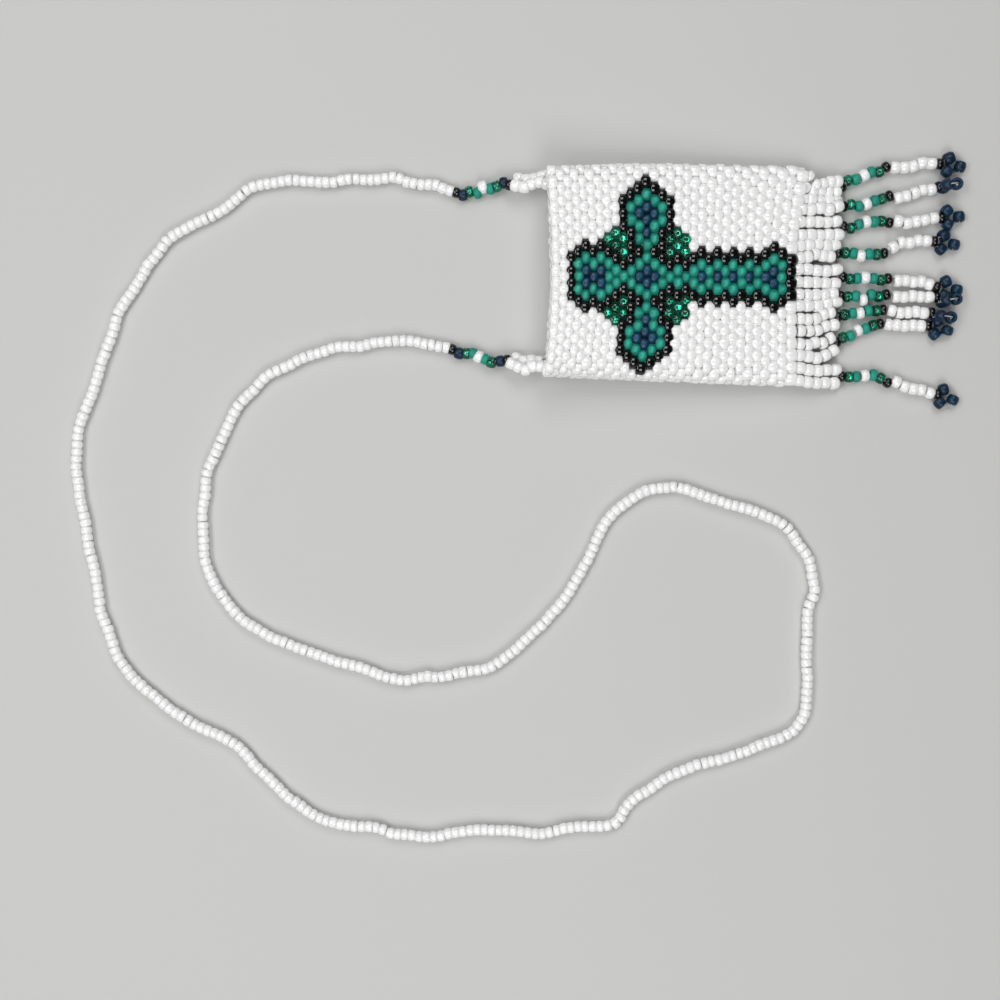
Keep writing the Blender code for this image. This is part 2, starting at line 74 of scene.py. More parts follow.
# The photograph: a view straight down on the table, in a square frame
FRAME_PX = 1000
FOCAL_PX = 1512
SENSOR_WIDTH = 36.0
CAMERA = Vector((-44.76 * MM, -41.14 * MM, 285 * MM))
CLIP_START = 10 * MM

# The weave: beads in columns across the pouch, each half a bead further round than in the columns beside it
BEAD_D = 2.25 * MM
HALF_ROW = BEAD_D / 2
COLUMN_STEP = 1.458 * MM
POUCH_COLUMNS = 31
FIRST_COLUMN = -2
LAST_COLUMN = FIRST_COLUMN + POUCH_COLUMNS - 1
MOUTH_COLUMNS = 2.5
LEAN_SHARE = 0.55
HALF_ROWS_ROUND = 36
SIDE_ROW = 18
STRETCH_ROWS = (14, 24)
BODY_FILL = 1.19
BODY_LENGTH_FILL = 1.23
END_REACH = 0.28 * MM
MOUTH_DRIFT = 0.25 * MM
WEFT_DEPTH = 0.72 * MM
WEFT_D = 0.2 * MM

# The pouch, as in the CAD
STRANDS = 9
EDGE_BULGE = 0.6 * MM
MOUTH_DRAW = 3.8 * MM
CLEARANCE = 0.3 * MM
POUCH_LENGTH = POUCH_COLUMNS * COLUMN_STEP
MOUTH_X = -35.5 * MM
END_WIDTH = 2 * STRANDS * BEAD_D + 2 * EDGE_BULGE
MOUTH_WIDTH = END_WIDTH - MOUTH_DRAW
MOUTH_Y = 0.7 * MM
END_Y = 0.55 * MM
MOUTH_HEIGHT = 10.8 * MM
END_HEIGHT = 2 * BEAD_D + CLEARANCE
MOUTH_CORNER = 3.4 * MM
END_CORNER = 2.3 * MM
CROSS_MOUTH_Y = -0.5 * MM
CROSS_END_Y = 0.15 * MM

# How far the columns fan out along X at the pouch's two sides, and how far the sides swell outwards
FAN_COLUMNS = (-2, 2, 10, 24, 28)
UPPER_FAN = (-0.85 * MM, -0.98 * MM, -0.19 * MM, 1.2 * MM, 2.2 * MM)
LOWER_FAN = (-1.5 * MM, -2.0 * MM, -1.3 * MM, -0.2 * MM, 0.17 * MM)
UPPER_SWELL = (0.33 * MM, 0.42 * MM, 0.62 * MM, -0.05 * MM, -0.3 * MM)
LOWER_SWELL = (-0.2 * MM, -0.2 * MM, -0.18 * MM, -0.28 * MM, -0.3 * MM)
FAN_ROW = 17
SWELL_ROW = 15
SWELL_FADE = (16, 30)

# Strung beads
WHITE_D, WHITE_LENGTH = 2.3 * MM, 1.62 * MM
BLACK_D, BLACK_LENGTH = 2.1 * MM, 1.28 * MM
EMERALD_D, EMERALD_LENGTH = 2.2 * MM, 1.52 * MM
GREEN_D, GREEN_LENGTH = 2.16 * MM, 1.4 * MM
NAVY_D, NAVY_LENGTH = 2.2 * MM, 1.5 * MM
TIP_D, TIP_LENGTH = 2.3 * MM, 1.86 * MM
LEG_D = 2.32 * MM
STRUNG_FILL = 1.09
TABLE_GAP = 0.03 * MM

# The thread, and how far it reaches past the last bead's middle, as a share of that bead
THREAD_D = 0.24 * MM
THREAD_SIDES = 6
LEG_TURN_SHARE = 0.4
DROP_END_SHARE = 0.7
TIP_REACH_SHARE = 0.55
TAB_TURN_SHARE = 0.6

# The fringe, as in the CAD. Its legs come down to the table between two shares of their length.
ROOT_Z = 3.55 * MM
ROOT_REACH = 0.06 * MM
LEG_DROP_SHARES = (-0.2, 1.1)
STRAND_Z = 1.2 * MM
DROP_WHITES = 5
TIP_BEADS = 3
TIP_RING_RADIUS = 1.5 * MM
RAISED_TIPS = (2, 6, 7)

# Where the photograph shows each bead of the legs' rows, upper and lower, down its frame in pixels
LEG_ROWS_PX = {
    1: ((176.3, 185, 183.8, 182.3, 181.5), (187.2, 190.5, 191.2, 191.5, 191.9)),
    2: ((199, 199.3, 201.3, 200.6, 201), (209.4, 209.8, 208, 209.8, 206.6)),
    3: ((222, 222, 222, 222.4, 221.3), (235, 235, 235.2, 234.7, 234.5)),
    4: ((245.8, 245.3, 244.5, 246, 245.6), (258.1, 256.9, 254, 255.6, 256.3)),
    5: ((270, 269, 270.8, 271, 269.6), (281.9, 282.1, 282.6, 283.2, 283.3)),
    6: ((294.4, 295, 294.5, 295, 293.8), (305.8, 305.8, 306.3, 303.2, 301.5)),
    7: ((318.8, 319.4, 318.8, 314.6, 313.1), (330.8, 330.8, 330.6, 326.5, 325)),
    8: ((343.5, 345, 342.8, 343.1, 338.1), (355.8, 356.4, 358, 355.6, 350.6)),
    9: ((368, 370, 370.7, 370, 369.8), (380.6, 382.4, 383.1, 383.2, 383.1)),
}

# Each row's first and last bead, across the frame
LEG_SPANS_PX = {
    1: ((808.8, 838), (804.6, 836.3)),
    2: ((803, 836.3), (802, 837.8)),
    3: ((801, 835.9), (801.5, 837.5)),
    4: ((800, 835), (800, 830.3)),
    5: ((798.1, 835.9), (797.8, 834.6)),
    6: ((799, 833.1), (798.8, 835.6)),
    7: ((800.3, 830.8), (801, 833.8)),
    8: ((800, 830), (800, 833.1)),
    9: ((800, 835.6), (798.8, 833.8)),
}

# How high each row of the legs ends over the table, upper and lower row
LEG_LIFTS = {
    1: (0.7 * MM, 0.0),
    2: (0.0, 1.2 * MM),
    3: (0.3 * MM, 0.1 * MM),
    4: (0.1 * MM, 0.5 * MM),
    5: (0.3 * MM, 0.1 * MM),
    6: (0.6 * MM, 0.0),
    7: (0.4 * MM, 0.2 * MM),
    8: (0.2 * MM, 0.3 * MM),
    9: (0.1 * MM, 0.2 * MM),
}

# The same for the seven beads of each band, and for the drop's five white beads and its black one
BAND_ROWS_PX = {
    1: (187, 180.4, 179.5, 175.6, 172.1, 172, 167.4),
    2: (206.5, 204.6, 206.2, 203.7, 201.1, 198.6, 195.8),
    3: (226.5, 228.2, 225, 221.5, 221.5, 221.4, 223.2),
    4: (253.4, 252.8, 253.4, 255.9, 254, 254.6, 253.5),
    5: (277, 278.9, 278.6, 277.6, 278.3, 280.2, 278.8),
    6: (296.5, 296.8, 296.1, 299.6, 294.8, 296.3, 294.6),
    7: (317, 314.6, 313.3, 313.3, 310.5, 310.8, 310),
    8: (342.5, 337.8, 335.9, 330.1, 328.8, 325.7, 324.6),
    9: (376.3, 377, 376.3, 375.7, 375, 378.4, 382.6),
}
DROP_ROWS_PX = {
    1: (167.4, 167.7, 166.7, 163.5, 163.9, 164.2),
    2: (197.9, 196.1, 192.6, 190.2, 189.5, 186.7),
    3: (221.4, 223.5, 221.8, 220.4, 217.9, 217.9),
    4: (247, 242.5, 242.5, 240.4, 241, 241.8),
    5: (280.9, 280.5, 282.3, 281.9, 284.4, 287),
    6: (296.7, 297.2, 295.8, 297.2, 297.3, 297),
    7: (310.8, 312.8, 313, 311.5, 313, 313),
    8: (324.7, 325.5, 325.8, 325, 325.8, 325.8),
    9: (381.9, 386.5, 388.9, 389.6, 393.2, 394.2),
}

# Each tip's three beads lie on a ring of thread: its middle in the frame, and how far it is turned
TIPS_PX = {
    1: (952.2, 165.6),
    2: (948.7, 185.5),
    3: (951, 217.5),
    4: (946, 243.4),
    5: (948.7, 289),
    6: (948, 300.5),
    7: (942.6, 317),
    8: (940, 328.5),
    9: (945.2, 397.4),
}
TIP_TURNS = {1: -9, 2: 12, 3: 5, 4: -11, 5: -7, 6: 10, 7: -4, 8: -14, 9: -16}

# The tabs' beads, first the row that lies higher and then the lower one, and the connectors' beads, all
# from the mouth on
TABS_PX = {
    "upper": (
        ((547, 184.2), (539.6, 182.6), (531.6, 184.2), (524.1, 187.2), (515.6, 186)),
        ((549.2, 174.6), (541.6, 176.4), (534.4, 178.7), (526.3, 179.6), (517.8, 178.8)),
    ),
    "lower": (
        ((547.8, 365), (540.2, 365.9), (532.5, 366.1), (525.2, 369.8), (518.2, 367), (511.2, 363.9)),
        ((539.4, 361.4), (531.5, 360.4), (524, 361.2), (516, 357.8)),
    ),
}
TAB_D = 2.28 * MM
TAB_LENGTH = 1.78 * MM
TAB_ROW_DROP = 1.75 * MM
CONNECTORS_PX = {
    "upper": (
        (509.4, 185.1), (503.3, 182.7), (496.6, 186.4), (490.6, 188.8), (482.7, 187.0),
        (477.3, 192.6), (469.4, 191.8), (462.7, 195.0), (456.0, 192.4),
    ),
    "lower": (
        (506.9, 360.3), (500.3, 360.9), (491.2, 362.1), (485.1, 359.1), (478.5, 356.7),
        (473.0, 353.4), (466.4, 353.6), (459.1, 353.2), (452.4, 350.0),
    ),
}
CONNECTOR_HEIGHT = 3.2 * MM

# The strap
STRAP_D = 2.15 * MM
STRAP_PITCH = 1.358 * MM
STRAP_BEAD_LENGTH = 1.5 * MM
STRAP_GAP = 0.05 * MM
STRAP_Z = STRAP_D / 2 + STRAP_GAP
STRAP_LENGTH = 530 * MM
START_PULL = 0.75 * MM
PULLED_LENGTH = 30 * MM

# Small waves in the strap, which die out towards its ends
WANDER = 0.14 * MM
WAVE_COUNT = 5
WAVE_LENGTHS_MM = (7, 16)
END_EASE = 8 * MM

# The strap's route on the table, as in the CAD
ROUTE_STEPS = 24
STRAP_ROUTE = (
    (-0.0549, 0.0170), (-0.0598, 0.0177), (-0.0662, 0.0199), (-0.0739, 0.0195), (-0.0889, 0.0182),
    (-0.0955, 0.0139), (-0.1101, 0.0039), (-0.1161, -0.0045), (-0.1210, -0.0218), (-0.1240, -0.0318),
    (-0.1242, -0.0411), (-0.1216, -0.0518), (-0.1154, -0.0717), (-0.1071, -0.0796), (-0.0945, -0.0864),
    (-0.0894, -0.0926), (-0.0789, -0.1008), (-0.0664, -0.1033), (-0.0372, -0.1039), (-0.0249, -0.1020),
    (-0.0185, -0.0967), (0.0050, -0.0871), (0.0121, -0.0821), (0.0134, -0.0712), (0.0136, -0.0580),
    (0.0078, -0.0458), (-0.0053, -0.0400), (-0.0147, -0.0383), (-0.0243, -0.0445), (-0.0307, -0.0567),
    (-0.0406, -0.0689), (-0.0532, -0.0746), (-0.0635, -0.0755), (-0.0786, -0.0704), (-0.0926, -0.0637),
    (-0.1000, -0.0505), (-0.0945, -0.0257), (-0.0767, -0.0130), (-0.0645, -0.0111), (-0.0549, -0.0125),
)

# Where the strap strays furthest from that smooth route: how far along it, and how far to its left,
# in millimetres
STRAP_STRAYS = (
    (0, 0), (3, -0.8), (9, 0.1), (15, 0.9), (19, 0.5), (23, 0.9), (30, 0.0), (44, -0.3),
    (51, -1.0), (55, -1.2), (60, 0.0), (67, 1.2), (73, 0.3), (87, -0.3), (93, -1.1), (101, 0.1),
    (112, 0.8), (121, 0.0), (130, -0.7), (136, -0.6), (146, 0.1), (157, -0.7), (162, -0.8), (175, 0.2),
    (189, 0.1), (199, 0.6), (203, -0.5), (208, -0.7), (218, 0.8), (223, 0.8), (230, 0.2), (237, 0.9),
    (245, -0.7), (252, 0.3), (258.6, 1.4), (263, 1.2), (268, 0.6), (280, 0.0), (292, 0.3), (301, 1.0),
    (305, 0.9), (310, -0.7), (315, -1.2), (320, -0.6), (330, 0.6), (343, 0.8), (352, 0.1), (375, 0.0),
    (387, -0.7), (395, 0.0), (405, -0.9), (408, -1.5), (413, -0.5), (419, -0.7), (430, 0.0), (450, 0.1),
    (460, 0.2), (468, 1.0), (473, 1.2), (480, 0.6), (490, 0.7), (496, 1.4), (501, 1.0), (508, 0.0),
    (514, -0.8), (521, -0.2), (530, 0),
)

# One bead: points round its section, and sides round its hole
PROFILE_POINTS = 11
SIDES = 16
SQUARENESS = 2.2
WOVEN_SQUARENESS = 2.9
HOLE_SHARE = 0.33

# The emerald beads' hole is nearly square, and its wall is lined
SQUARE_HOLE_SHARE = 0.18
HOLE_CORNERS = 4
HOLE_WALL_LEVEL = -0.3

# How much one glass bead differs from the next
LENGTH_SPREAD = 0.05
WIDTH_SPREAD = 0.02
TILT_SPREAD = math.radians(3.5)
PLACE_SPREAD = 0.035 * MM

# Painted light on woven frosted beads: they are painted paler on their outward crowns as a painted
# highlight, and darker round their edges and towards their ends as painted shade. White ones are painted
# the other way round: a little darker on the crown, and paler at the edges and ends as painted light in the
# seams between beads. Strung ones have one tone all round.
PAINTED_LIGHT_SHARES = (0.86, 0.99)
END_SHADE_SHARE = 0.3
PAINTED_LIGHT_WEIGHT = 0.85
STRUNG_CROWN = {"green": 0.3, "navy": 0.0, "white": 0.5}
STRUNG_EMERALD_SHARE = 0.25

# The clouds in the glass, its etched surface, and the emerald beads' lining
CLOUD_WEIGHT = 0.45
CLOUD_DETAIL = 3
ETCHING_FINENESS = 6
ETCHING_DETAIL = 2
ETCHING_STRENGTH = 0.5
LINING_COLOUR = (0.9, 0.92, 0.9)
LINING_ROUGHNESS = 0.12

# The table, and the room: dim overhead and pale from the horizon down
FLOOR_SIZE = 0.8
FLOOR_COLOUR = (0.58, 0.58, 0.57)
FLOOR_ROUGHNESS = 0.75
ROOM_ABOVE = 0.07
ROOM_HORIZON = 0.7
HORIZON_HEIGHTS = (0.08, 0.3)

# Three wide lamps hang round the camera, with none towards +X
LAMP_HEIGHT = 0.55
LAMPS = {
    "left_lamp": {"offset": (-0.3, 0.0), "size": (0.22, 0.6), "power": 1.86},
    "upper_lamp": {"offset": (0.08, 0.4), "size": (0.3, 0.38), "power": 1.51},
    "lower_lamp": {"offset": (0.08, -0.4), "size": (0.3, 0.38), "power": 1.82},
}


# Places

def from_photo(px, z):
    """The point at height z that the photograph shows at px, across and down its frame."""
    scale = (CAMERA.z - z) / FOCAL_PX
    middle = FRAME_PX / 2
    return Vector((CAMERA.x + (px[0] - middle) * scale, CAMERA.y - (px[1] - middle) * scale, z))


def row_y(down_px, z):
    return from_photo((0, down_px), z).y


def mix(a, b, share):
    return a + (b - a) * share


def smooth_step(low, high, value):
    share = min(max((value - low) / (high - low), 0.0), 1.0)
    return share * share * (3 - 2 * share)


def smooth_route(points):
    """Close points on one smooth curve through the route's own points."""
    padded = [2 * points[0] - points[1], *points, 2 * points[-1] - points[-2]]
    fine = []
    for a, b, c, d in zip(padded, padded[1:], padded[2:], padded[3:]):
        for step in range(ROUTE_STEPS):
            t = step / ROUTE_STEPS
            bend = 2 * a - 5 * b + 4 * c - d
            twist = 3 * b - a - 3 * c + d
            fine.append((2 * b + (c - a) * t + bend * t**2 + twist * t**3) / 2)
    fine.append(points[-1])
    return fine


def evenly(points, count):
    """As many evenly spaced points along a run of points, and the length of the run."""
    lengths = [0.0]
    for a, b in zip(points, points[1:]):
        lengths.append(lengths[-1] + (b - a).length)
    even = []
    i = 0
    for k in range(count):
        wanted = lengths[-1] * k / (count - 1)
        while i < len(points) - 2 and lengths[i + 1] < wanted:
            i += 1
        share = (wanted - lengths[i]) / (lengths[i + 1] - lengths[i])
        even.append(points[i].lerp(points[i + 1], share))
    return even, lengths[-1]


# Materials

def new_material(name):
    made = bpy.data.materials.new(name)
    made.use_nodes = True
    return made, made.node_tree.nodes, made.node_tree.links


def glass_material(name, dark, pale, roughness, grain, sockets, frost=0.0, cloudy=CLOUD_WEIGHT):
    """Glass whose tone changes from bead to bead and clouds a little inside each one. On woven beads its
    tone attribute also holds painted highlight and shade.

    dark and pale are the darkest and lightest tones, and roughness the least and the most. grain is the
    size of the clouds, and cloudy their weight beside the bead's own tone. sockets holds the shader's own
    values, and frost is the depth of an etched surface.
    """
    made, nodes, links = new_material(name)
    shader = nodes["Principled BSDF"]
    for socket, value in sockets.items():
        shader.inputs[socket].default_value = value
    place = nodes.new("ShaderNodeTexCoord")
    clouds = nodes.new("ShaderNodeTexNoise")
    clouds.inputs["Scale"].default_value = 1 / grain
    clouds.inputs["Detail"].default_value = CLOUD_DETAIL
    links.new(place.outputs["Object"], clouds.inputs["Vector"])
    # The tone attribute: each bead's random tone, and on woven beads painted highlight and shade
    tone = nodes.new("ShaderNodeAttribute")
    tone.attribute_name = "tone"
    both = nodes.new("ShaderNodeMath")
    both.operation = "MULTIPLY_ADD"
    both.inputs[1].default_value = cloudy
    links.new(clouds.outputs["Fac"], both.inputs[0])
    half = nodes.new("ShaderNodeMath")
    half.operation = "MULTIPLY"
    half.inputs[1].default_value = 1 - cloudy
    links.new(tone.outputs["Fac"], half.inputs[0])
    links.new(half.outputs["Value"], both.inputs[2])
    ramp = nodes.new("ShaderNodeMix")
    ramp.data_type = "RGBA"
    ramp.inputs["A"].default_value = (*dark, 1)
    ramp.inputs["B"].default_value = (*pale, 1)
    links.new(both.outputs["Value"], ramp.inputs["Factor"])
    links.new(ramp.outputs["Result"], shader.inputs["Base Color"])
    gloss = nodes.new("ShaderNodeMapRange")
    gloss.inputs["To Min"].default_value, gloss.inputs["To Max"].default_value = roughness
    links.new(clouds.outputs["Fac"], gloss.inputs["Value"])
    links.new(gloss.outputs["Result"], shader.inputs["Roughness"])
    if frost:
        etching = nodes.new("ShaderNodeTexNoise")
        etching.inputs["Scale"].default_value = ETCHING_FINENESS / grain
        etching.inputs["Detail"].default_value = ETCHING_DETAIL
        links.new(place.outputs["Object"], etching.inputs["Vector"])
        bump = nodes.new("ShaderNodeBump")
        bump.inputs["Strength"].default_value = ETCHING_STRENGTH
        bump.inputs["Distance"].default_value = frost
        links.new(etching.outputs["Fac"], bump.inputs["Height"])
        links.new(bump.outputs["Normal"], shader.inputs["Normal"])
    return made


def make_materials():
    """The finish of each kind of bead, of the emerald beads' lining and of the thread."""
    pearl = {
        "Subsurface Weight": 0.35,
        "Subsurface Radius": (1.0, 0.98, 0.93),
        "Subsurface Scale": 0.5 * MM,
        "Coat Weight": 1.0,
        "Coat Roughness": 0.03,
        "Coat IOR": 1.7,
        "IOR": 1.4,
    }
    jet = {
        "Coat Weight": 1.0,
        "Coat Roughness": 0.02,
        "Coat IOR": 1.6,
        "Specular IOR Level": 0.0,
    }
    frosted = {
        "Subsurface Weight": 0.12,
        "Subsurface Radius": (0.4, 1.0, 0.8),
        "Subsurface Scale": 0.4 * MM,
        "IOR": 1.4,
    }
    finishes = {
        "white": glass_material(
            "pearl_white_glass",
            dark=(0.9, 0.905, 0.895),
            pale=(0.97, 0.97, 0.96),
            roughness=(0.2, 0.3),
            grain=0.9 * MM,
            sockets=pearl,
        ),
        "black": glass_material(
            "jet_black_glass",
            dark=(0.0003, 0.0003, 0.0004),
            pale=(0.0012, 0.0012, 0.0015),
            roughness=(0.06, 0.1),
            grain=0.8 * MM,
            sockets=jet,
        ),
        "green": glass_material(
            "frosted_green_glass",
            dark=(0.0, 0.13, 0.1),
            pale=(0.03, 0.56, 0.4),
            roughness=(0.36, 0.46),
            grain=0.8 * MM,
            sockets=frosted,
            frost=0.02 * MM,
            cloudy=0.15,
        ),
        "emerald": glass_material(
            "emerald_glass",
            dark=(0.0, 0.19, 0.1),
            pale=(0.04, 0.82, 0.5),
            roughness=(0.02, 0.08),
            grain=1.2 * MM,
            sockets={"Transmission Weight": 0.92, "IOR": 1.5},
            cloudy=0.2,
        ),
        "navy": glass_material(
            "frosted_navy_glass",
            dark=(0.0003, 0.007, 0.026),
            pale=(0.014, 0.125, 0.23),
            roughness=(0.28, 0.38),
            grain=0.8 * MM,
            sockets=frosted,
            frost=0.015 * MM,
            cloudy=0.15,
        ),
        "thread": glass_material(
            "thread",
            dark=(0.35, 0.35, 0.34),
            pale=(0.55, 0.55, 0.53),
            roughness=(0.5, 0.65),
            grain=0.3 * MM,
            sockets={"IOR": 1.45},
        ),
    }
    lining, nodes, _ = new_material("silver_lining")
    shader = nodes["Principled BSDF"]
    shader.inputs["Base Color"].default_value = (*LINING_COLOUR, 1)
    shader.inputs["Metallic"].default_value = 1.0
    shader.inputs["Roughness"].default_value = LINING_ROUGHNESS
    finishes["lining"] = lining
    return finishes


# Beads as meshes

def bead_shape(square_hole_share, squareness):
    """A bead with its hole along X, and its half length and its radius both 1.

    Returns its points, its faces, and which of the faces line its hole.
    """
    wall_middle = (1 + HOLE_SHARE) / 2
    half_wall = (1 - HOLE_SHARE) / 2
    points = []
    for i in range(PROFILE_POINTS):
        turn = 2 * math.pi * (i + 0.5) / PROFILE_POINTS - math.pi / 2
        across, up = math.cos(turn), math.sin(turn)
        along = math.copysign(abs(across) ** (2 / squareness), across)
        out = wall_middle + half_wall * math.copysign(abs(up) ** (2 / squareness), up)
        for k in range(SIDES):
            angle = 2 * math.pi * k / SIDES
            radius = out
            if up < 0:
                radius *= 1 + square_hole_share * -up * math.cos(HOLE_CORNERS * angle)
            points.append((along, radius * math.cos(angle), radius * math.sin(angle)))
    faces = []
    inner = []
    for i in range(PROFILE_POINTS):
        after = (i + 1) % PROFILE_POINTS
        middle = 2 * math.pi * (i + 1) / PROFILE_POINTS - math.pi / 2
        for k in range(SIDES):
            beside = (k + 1) % SIDES
            face = (i * SIDES + k, after * SIDES + k, after * SIDES + beside, i * SIDES + beside)
            faces.append(face)
            inner.append(math.sin(middle) < HOLE_WALL_LEVEL)
    return np.array(points), np.array(faces), np.array(inner)


ROUND_BEAD = bead_shape(0, SQUARENESS)
WOVEN_BEAD = bead_shape(0, WOVEN_SQUARENESS)
LINED_BEAD = bead_shape(SQUARE_HOLE_SHARE, SQUARENESS)


def bead(place, along, length, diameter, kind, outward=None):
    """One bead with its hole along a direction. outward is set for a woven bead: the way it faces, where
    its painted highlight sits.
    """
    return {
        "place": place,
        "along": along,
        "length": length,
        "diameter": diameter,
        "kind": kind,
        "outward": outward,
    }


def painted_crown_light(one, offsets, along):
    """How far towards the pale tone each point of a bead is, as painted light: a painted highlight on a
    woven bead's outward crown and painted shade towards its edges and ends, turned round on white beads so
    that their seams are painted lighter.

    offsets are from the bead's middle in shares of its radius, and along is the part of it along the hole,
    from -1 to 1.
    """
    if one["outward"] is None:
        return np.full(len(offsets), STRUNG_CROWN[one["kind"]])
    low, high = PAINTED_LIGHT_SHARES
    # The painted highlight centres on the way the bead faces, and painted shade grows towards its ends
    level = offsets @ np.array(one["outward"]) - END_SHADE_SHARE * along**2
    share = np.clip((level - low) / (high - low), 0, 1)
    share = share * share * (3 - 2 * share)
    # White beads are painted darker on the crown and lighter at the edges and ends, as painted light in
    # their seams
    return 1 - share if one["kind"] == "white" else share


def turned(along, rng):
    """A turn that lays X along a direction, tilted a little as beads on a thread are."""
    basis = along.to_track_quat("X", "Z").to_matrix()
    pitch = Matrix.Rotation(rng.gauss(0, TILT_SPREAD), 3, "Y")
    yaw = Matrix.Rotation(rng.gauss(0, TILT_SPREAD), 3, "Z")
    return basis @ (pitch @ yaw) @ Matrix.Rotation(rng.uniform(0, math.pi), 3, "X")


def swept(points, radius):
    """A thin round thread through points, with closed ends."""
    rings = []
    for i, point in enumerate(points):
        before = points[max(i - 1, 0)]
        after = points[min(i + 1, len(points) - 1)]
        basis = np.array((after - before).to_track_quat("X", "Z").to_matrix())
        ring = []
        for k in range(THREAD_SIDES):
            angle = 2 * math.pi * k / THREAD_SIDES
            ring.append((0, radius * math.cos(angle), radius * math.sin(angle)))
        rings.append(np.array(ring) @ basis.T + np.array(point))
    rings.insert(0, np.repeat([np.array(points[0])], THREAD_SIDES, 0))
    rings.append(np.repeat([np.array(points[-1])], THREAD_SIDES, 0))
    faces = []
    for i in range(len(rings) - 1):
        here, after = i * THREAD_SIDES, (i + 1) * THREAD_SIDES
        for k in range(THREAD_SIDES):
            beside = (k + 1) % THREAD_SIDES
            faces.append((here + k, here + beside, after + beside, after + k))
    return np.concatenate(rings), np.array(faces)


def bead_piece(node, beads, materials, threads=(), thread_d=THREAD_D):
    """One mesh of beads, and of threads if there are any, that stands for a CAD node."""
    rng = random.Random(node)
    kinds = sorted({one["kind"] for one in beads})
    used = kinds + (["lining"] if "emerald" in kinds else []) + (["thread"] if threads else [])
    points, faces, slots, tones = [], [], [], []
    count = 0
    for one in beads:
        shape, quads, inner = ROUND_BEAD if one["outward"] is None else WOVEN_BEAD
        if one["kind"] == "emerald":
            shape, quads, inner = LINED_BEAD
        half = one["length"] / 2 * (1 + rng.gauss(0, LENGTH_SPREAD))
        radius = one["diameter"] / 2 * (1 + rng.gauss(0, WIDTH_SPREAD))
        basis = np.array(turned(one["along"], rng))
        shift = np.array([rng.gauss(0, PLACE_SPREAD) for _ in range(3)])
        offsets = shape * (half, radius, radius) @ basis.T
        points.append(offsets + np.array(one["place"]) + shift)
        faces.append(quads + count)
        kind = np.full(len(quads), used.index(one["kind"]))
        if one["kind"] == "emerald":
            kind[inner] = used.index("lining")
        slots.append(kind)
        tone = np.full(len(shape), rng.random())
        # The bead's random tone, mixed with the painted highlight and shade of woven beads, or with one
        # level for strung ones
        if one["kind"] in STRUNG_CROWN:
            level = painted_crown_light(one, offsets / radius, shape[:, 0])
            tone = tone * (1 - PAINTED_LIGHT_WEIGHT) + level * PAINTED_LIGHT_WEIGHT
        elif one["kind"] == "emerald" and one["outward"] is None:
            tone = tone * STRUNG_EMERALD_SHARE
        tones.append(tone)
        count += len(shape)
    for run in threads:
        tube, quads = swept(run, thread_d / 2)
        points.append(tube)
        faces.append(quads + count)
        slots.append(np.full(len(quads), used.index("thread")))
        tones.append(np.full(len(tube), rng.random()))
        count += len(tube)
    mesh = bpy.data.meshes.new(node + "_beads")
    mesh.from_pydata(np.concatenate(points).tolist(), [], np.concatenate(faces).tolist())
    tone = mesh.attributes.new("tone", "FLOAT", "POINT")
    tone.data.foreach_set("value", np.concatenate(tones).astype(np.float32))
    for kind in used:
        mesh.materials.append(materials[kind])
    mesh.polygons.foreach_set("material_index", np.concatenate(slots).astype(np.int32))
    mesh.shade_smooth()
    mesh.validate()
    made = bpy.data.objects.new(node + "_beads", mesh)
    bpy.context.scene.collection.objects.link(made)
    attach(made, frame["nodes"][node]["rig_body"])
    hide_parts(node)
    return made


# The weave

def column_x(column):
    """The place along X of a column. The middle columns lean towards the mouth."""
    share = (column + MOUTH_COLUMNS) / POUCH_COLUMNS
    lean = LEAN_SHARE * COLUMN_STEP * 4 * share * (1 - share)
    return MOUTH_X + share * POUCH_LENGTH - lean + MOUTH_DRIFT * (1 - share) ** 2


def along_pouch(x, at_mouth, at_end):
    return mix(at_mouth, at_end, (x - MOUTH_X) / POUCH_LENGTH)


def fan(column, row):
    """How far a bead lies past its column's middle, as the columns spread towards the pouch's sides."""
    spread = float(np.interp(column, FAN_COLUMNS, UPPER_FAN if row > 0 else LOWER_FAN))
    from_middle = min(abs(row), HALF_ROWS_ROUND - abs(row))
    return spread * (from_middle / FAN_ROW) ** 2


def swell(column, row):
    """How far a bead lies outwards of its even place, as the sides of a soft tube bulge."""
    most = float(np.interp(column, FAN_COLUMNS, UPPER_SWELL if row > 0 else LOWER_SWELL))
    return most * abs(row) / SWELL_ROW * (1 - smooth_step(*SWELL_FADE, abs(row)))


